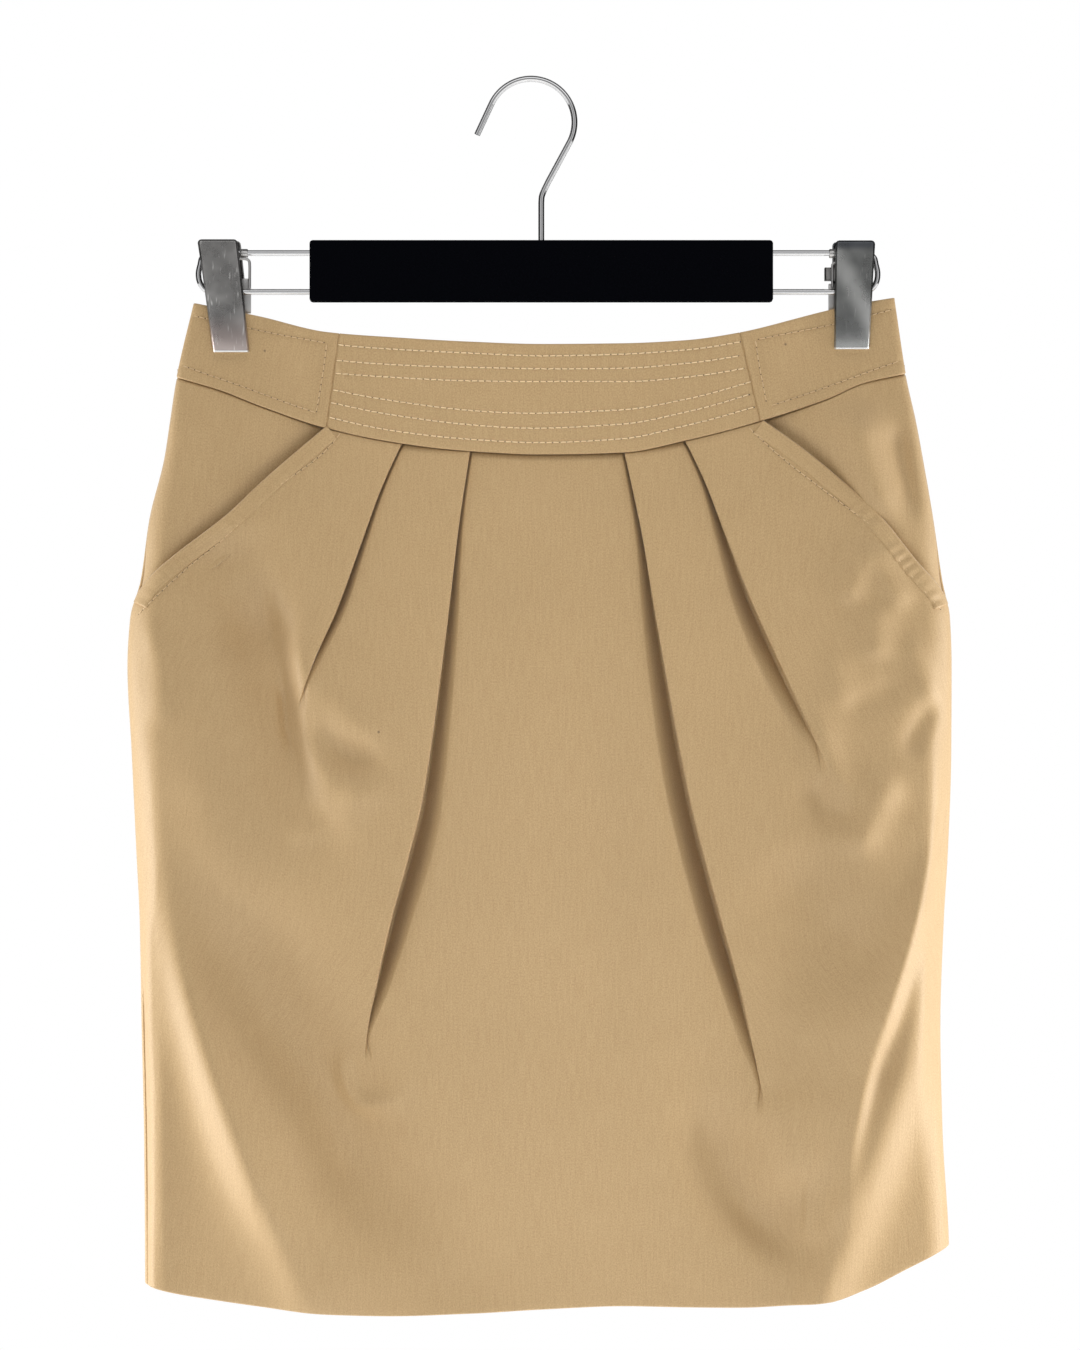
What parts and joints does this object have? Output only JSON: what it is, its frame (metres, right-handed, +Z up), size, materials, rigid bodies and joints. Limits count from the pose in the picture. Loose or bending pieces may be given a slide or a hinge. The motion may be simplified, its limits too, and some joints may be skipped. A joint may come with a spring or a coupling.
{
  "type": "pleated tulip skirt on a clip hanger",
  "caption": "Pleated tulip skirt with slanted pockets and a stitched waistband, hung by its waist corners on a clip hanger.",
  "frame": {"origin": "where the hook bears on a rail, on the inner side of its crown, above the skirt's centre", "axes": "+X to the right of the front view, +Y from front to back, +Z up"},
  "size_m": [0.4467, 0.0607, 0.6684],
  "materials": {
    "cloth": "smooth cotton satin, soft sheen",
    "flock": "black flocking",
    "steel": "polished, brushed on the clips",
    "tape": "woven zip tape",
    "zip": "satin lacquer in the cloth's colour"
  },
  "bodies": {
    "skirt": {"band_front_centre": "cloth", "band_side_left": "cloth", "band_side_right": "cloth", "band_back_left": "cloth", "band_back_right": "cloth", "front_panel": "cloth", "hip_left": "cloth", "hip_right": "cloth", "back_left": "cloth", "back_right": "cloth", "hanger_hook": "steel", "hanger_wire_left": "steel", "hanger_wire_right": "steel", "clip_left_front": "steel", "clip_left_back": "steel", "clip_left_bracket": "steel", "clip_right_front": "steel", "clip_right_back": "steel", "clip_right_bracket": "steel", "hanger_bar": "flock", "zip_tape": "tape", "zip_slider": "zip"},
    "pull": {"zip_pull": "zip"}
  },
  "joints": [
    {"name": "pull_swing", "type": "hinge", "parent": "skirt", "child": "pull", "pos_m": [0, 0.01281, -0.1541], "axis": [1, 0, 0], "range_deg": [0, 150]}
  ]
}
